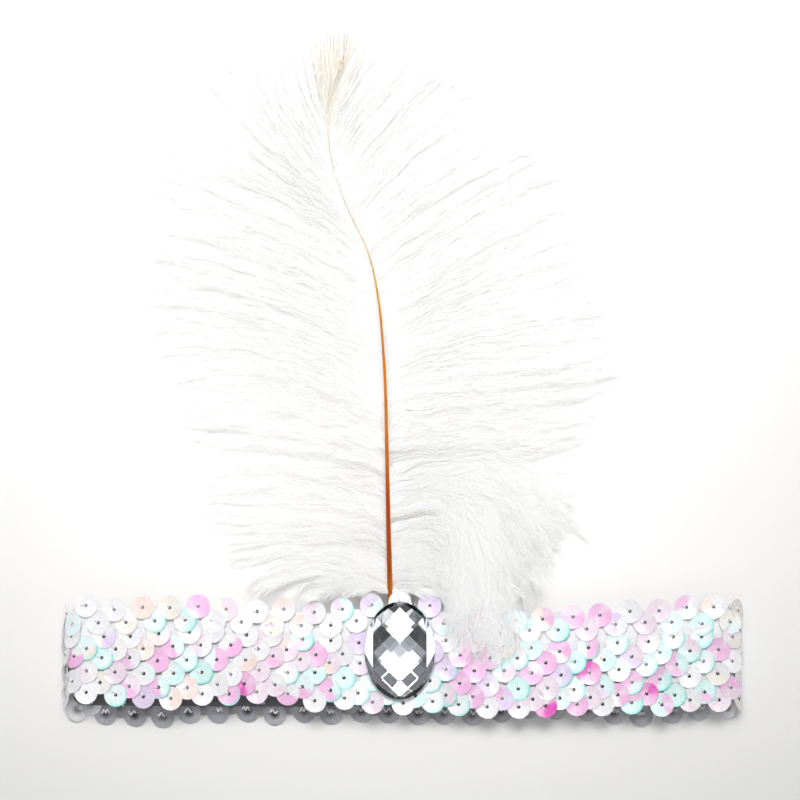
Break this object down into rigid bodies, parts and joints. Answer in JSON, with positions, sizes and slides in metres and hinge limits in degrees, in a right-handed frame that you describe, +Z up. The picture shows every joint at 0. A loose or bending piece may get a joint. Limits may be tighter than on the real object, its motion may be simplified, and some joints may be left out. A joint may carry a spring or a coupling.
{
  "type": "sequin headband",
  "caption": "Stretch headband paved with iridescent white sequins, with a clear faceted oval gem and one white ostrich plume on an amber quill, lying flat.",
  "frame": {"origin": "On the surface that the headband lies on, at the middle of its whole outline seen from above.", "axes": "+X runs along the flattened band, +Y from the band to the tip of the feather, +Z up from the surface."},
  "size_m": [0.1756, 0.18, 0.0178],
  "materials": {
    "knit": "white elastic knit ground with sewing thread",
    "sequin": "pearly white sequins with a pink, lilac and aqua shift",
    "gem": "clear faceted acrylic with a silvered flat back",
    "quill": "amber horn-like quill, paler towards the tip",
    "plume": "soft white downy barbs"
  },
  "bodies": {
    "root": {"knit_band": "knit", "sequin_strand_1": "sequin", "sequin_strand_2": "sequin", "sequin_strand_3": "sequin", "sequin_strand_4": "sequin", "gem": "gem", "quill": "quill", "plume_left": "plume", "plume_right": "plume"}
  },
  "joints": []
}
